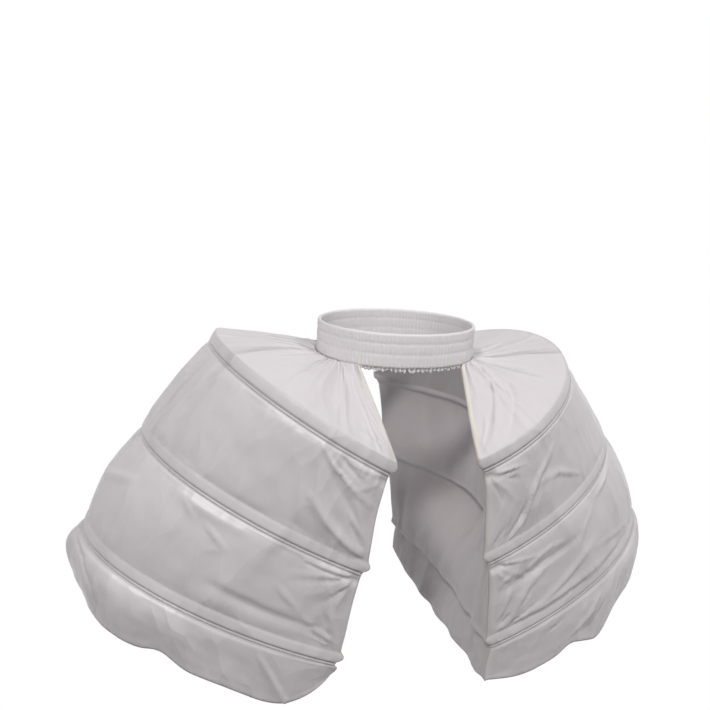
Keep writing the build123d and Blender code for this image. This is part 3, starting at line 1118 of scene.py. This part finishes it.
def cloth_material(name, light, shade, roughness, threads, thread_bump, crinkle_bump, **sockets):
    material, tree, shader = new_material(name, roughness, **sockets)
    flat = tree.nodes.new("ShaderNodeUVMap")
    flat.uv_map = "cloth"
    cloth = flat.outputs["UV"]
    tone = place_group(tree, TONE, Cloth=cloth, Scale=7.0, Light=light, Shade=shade)
    # Painted shade in the seams, towards a dark grey.
    shaded = tinted(tree, tone, "painted_seam_shade", (0.36, 0.33, 0.335, 1))
    # Painted highlight on the rolled edges, towards a light cream.
    rimmed = tinted(tree, shaded, "painted_rim_highlight", (0.86, 0.80, 0.68, 1))
    tree.links.new(rimmed, shader.inputs["Base Color"])
    folds = place_group(tree, CRINKLES, Cloth=cloth, Scale=12.0)
    normal = bump(tree, folds, crinkle_bump)
    creases = place_group(tree, CRINKLES, Cloth=cloth, Scale=38.0)
    normal = bump(tree, creases, crinkle_bump * 0.4, normal)
    threads_up = place_group(tree, WEAVE, Cloth=cloth, Threads=threads)
    normal = bump(tree, threads_up, thread_bump, normal)
    tree.links.new(normal, shader.inputs["Normal"])
    return material


taffeta = cloth_material(
    "white_taffeta", (0.77, 0.725, 0.74, 1), (0.71, 0.66, 0.67, 1), 0.34, 1500, 0.03 * MM,
    11 * MM, Sheen_Weight=0.12, Sheen_Roughness=0.4, Specular_IOR_Level=0.55,
)
# The inner cloth is the same taffeta, painted darker to stand for the shade on the body side.
shaded_taffeta = cloth_material(
    "body_side_taffeta_painted_shade", (0.68, 0.635, 0.65, 1), (0.63, 0.585, 0.59, 1), 0.42, 1500, 0.03 * MM,
    9 * MM, Sheen_Weight=0.1, Sheen_Roughness=0.5, Specular_IOR_Level=0.45,
)
# The band cloth is painted lighter than the taffeta, to stand for light falling on the band; the
# gathered edges share it.
shirred = cloth_material(
    "shirred_band_cloth", (0.88, 0.84, 0.845, 1), (0.83, 0.79, 0.80, 1), 0.5, 1400, 0.04 * MM,
    0.2 * MM, Sheen_Weight=0.1, Specular_IOR_Level=0.35,
)
woven_tape = cloth_material(
    "woven_tape", (0.83, 0.82, 0.79, 1), (0.77, 0.76, 0.73, 1), 0.75, 900, 0.12 * MM, 0.02 * MM,
    Sheen_Weight=0.15, Specular_IOR_Level=0.25,
)
print("cloth materials", [m.name for m in (taffeta, shaded_taffeta, shirred, woven_tape)])

# %% [markdown]
# The hidden bones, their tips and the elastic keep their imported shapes, and get a plain finish.

# %% Steel, plastic, elastic and thread
def plain_material(name, light, shade, scale, roughness, height, **sockets):
    """A tone drift and a fine grain on the object's own coordinates."""
    material, tree, shader = new_material(name, roughness, **sockets)
    spot = tree.nodes.new("ShaderNodeTexCoord").outputs["Object"]
    tone = place_group(tree, TONE, Cloth=spot, Scale=scale, Light=light, Shade=shade)
    tree.links.new(tone, shader.inputs["Base Color"])
    grain_up = noise_node(tree, spot, scale * 12, 2.0)
    tree.links.new(bump(tree, grain_up, height), shader.inputs["Normal"])
    return material


steel = plain_material(
    "spring_steel", (0.62, 0.63, 0.65, 1), (0.48, 0.49, 0.51, 1), 60, 0.3, 0.02 * MM, Metallic=1.0
)
tip_plastic = plain_material(
    "tip_plastic", (0.82, 0.82, 0.80, 1), (0.78, 0.78, 0.76, 1), 40, 0.35, 0.02 * MM
)
elastic = plain_material(
    "white_elastic", (0.80, 0.80, 0.79, 1), (0.72, 0.72, 0.71, 1), 90, 0.8, 0.15 * MM
)
thread = plain_material(
    "white_thread", (0.86, 0.86, 0.85, 1), (0.78, 0.78, 0.77, 1), 200, 0.6, 0.05 * MM,
    Sheen_Weight=0.2,
)


def dress(piece, material):
    piece.data.materials.clear()
    piece.data.materials.append(material)


for piece in outer_cloths.values():
    dress(piece, taffeta)
for piece in inner_cloths.values():
    dress(piece, shaded_taffeta)
for piece in [waistband, *edges.values()]:
    dress(piece, shirred)
for piece in list(bpy.data.objects):
    if piece.name.endswith("_tape"):
        dress(piece, woven_tape)
    if piece.name.endswith(("_stitches", "_shirring", "_overlock")):
        dress(piece, thread)

CAD_FINISH = {"_bone": steel, "_bone_tips": tip_plastic, "waist_elastic": elastic}
for node_name in frame["nodes"]:
    for ending, finish in CAD_FINISH.items():
        if node_name.endswith(ending):
            for slot in bpy.data.objects[node_name].material_slots:
                slot.material = finish
print("finished pieces", sum(bool(o.data.materials) for o in bpy.data.objects if o.type == "MESH"))

# %% [markdown]
# A plain light studio. The floor is far below, because the panniers hang at hip height. The
# floor and the world look white to camera and glossy rays, and the cloth is otherwise lit by a
# world that is light above and dim below. Two lamps from above give the folds light and shade.

# %% Studio
def white_to_camera(tree, kind, lit, strength, output):
    """White to camera and glossy rays, and the lit shader to all other rays."""
    seen = tree.nodes.new(kind)
    seen.inputs["Color"].default_value = (1, 1, 1, 1)
    seen.inputs["Strength"].default_value = 1 / strength
    path = tree.nodes.new("ShaderNodeLightPath")
    mix = tree.nodes.new("ShaderNodeMixShader")
    direct = math_node(tree, "MAXIMUM", path.outputs["Is Camera Ray"], path.outputs["Is Glossy Ray"])
    tree.links.new(math_node(tree, "MULTIPLY", direct, strength), mix.inputs["Fac"])
    tree.links.new(lit, mix.inputs[1])
    tree.links.new(seen.outputs[0], mix.inputs[2])
    tree.links.new(mix.outputs[0], output.inputs["Surface"])


AMBIENT_ABOVE, AMBIENT_BELOW = 0.40, 0.03
world = bpy.data.worlds.new("studio")
bpy.context.scene.world = world
world.use_nodes = True
world.node_tree.nodes.clear()
sky = world.node_tree.nodes.new("ShaderNodeBackground")
sky.inputs["Color"].default_value = (0.97, 0.98, 1, 1)
direction = world.node_tree.nodes.new("ShaderNodeTexCoord").outputs["Generated"]
height = world.node_tree.nodes.new("ShaderNodeSeparateXYZ")
world.node_tree.links.new(direction, height.inputs[0])
from_above = world.node_tree.nodes.new("ShaderNodeMapRange")
from_above.interpolation_type = "SMOOTHSTEP"
for title, value in zip(
    ("From Min", "From Max", "To Min", "To Max"), (-0.2, 0.9, AMBIENT_BELOW, AMBIENT_ABOVE)
):
    from_above.inputs[title].default_value = value
world.node_tree.links.new(height.outputs["Z"], from_above.inputs["Value"])
world.node_tree.links.new(from_above.outputs["Result"], sky.inputs["Strength"])
world_output = world.node_tree.nodes.new("ShaderNodeOutputWorld")
white_to_camera(world.node_tree, "ShaderNodeBackground", sky.outputs[0], 1, world_output)

FLOOR_HEIGHT, FLOOR_HALF, FLOOR_TONE, FLOOR_WHITE = -1.0, 6.0, 0.3, 0.97
floor_bm = bmesh.new()
bmesh.ops.create_grid(
    floor_bm, x_segments=1, y_segments=1, size=FLOOR_HALF,
    matrix=Matrix.Translation((0, 0, FLOOR_HEIGHT)),
)
floor_mesh = bpy.data.meshes.new("floor")
floor_bm.to_mesh(floor_mesh)
floor_bm.free()
floor = bpy.data.objects.new("floor", floor_mesh)
bpy.context.scene.collection.objects.link(floor)
floor_paint, floor_tree, floor_shader = new_material("pale_floor", 0.9)
floor_shader.inputs["Base Color"].default_value = (FLOOR_TONE, FLOOR_TONE, FLOOR_TONE, 1)
floor_output = floor_tree.nodes["Material Output"]
white_to_camera(
    floor_tree, "ShaderNodeEmission", floor_shader.outputs[0], FLOOR_WHITE, floor_output
)
dress(floor, floor_paint)


def soft_lamp(name, place, aim, size, power):
    data = bpy.data.lights.new(name, "AREA")
    data.size = size
    data.energy = power
    lamp = bpy.data.objects.new(name, data)
    bpy.context.scene.collection.objects.link(lamp)
    lamp.location = place
    lamp.rotation_euler = (Vector(aim) - Vector(place)).to_track_quat("-Z", "Y").to_euler()


soft_lamp("key", (-1.4, -1.8, 2.1), (0, 0, -0.2), 0.45, 44)
soft_lamp("side", (1.3, -1.5, 1.9), (0, 0, -0.2), 0.6, 24)
print("lamps", [lamp.name for lamp in bpy.data.objects if lamp.type == "LIGHT"])
